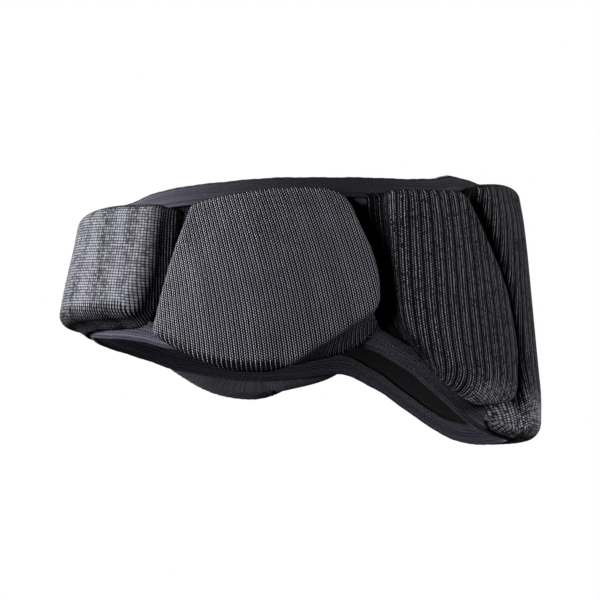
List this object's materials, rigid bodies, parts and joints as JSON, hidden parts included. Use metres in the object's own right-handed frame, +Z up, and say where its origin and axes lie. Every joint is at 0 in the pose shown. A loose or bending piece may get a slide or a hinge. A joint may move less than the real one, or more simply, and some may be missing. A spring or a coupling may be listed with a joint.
{
  "type": "soft-shell padded head guard",
  "caption": "Open-topped soft head guard: a knit-covered band with thick foam pads at the brow, temples, ears and nape, bound with tape at the top edge and at the hem.",
  "frame": {"origin": "middle of the head opening at brow height, 5 mm below the middle of the front hem, on the plane of symmetry", "axes": "+Z up when worn, -Y towards the wearer's face side, +X towards the wearer's left"},
  "size_m": [0.1894, 0.2261, 0.1185],
  "materials": {
    "knit": "charcoal warp-knit mesh over foam, light ribs with dark gaps, matt",
    "tape": "dark ribbed woven binding tape with a faint blue sheen",
    "lining": "smooth near-black jersey lining"
  },
  "bodies": {
    "root": {"band": "knit", "lining": "lining", "top_binding": "tape", "hem_binding": "tape", "front_pad": "knit", "back_pad": "knit", "side_pad_left": "knit", "side_pad_right": "knit", "rear_pad_left": "knit", "rear_pad_right": "knit"}
  },
  "joints": []
}
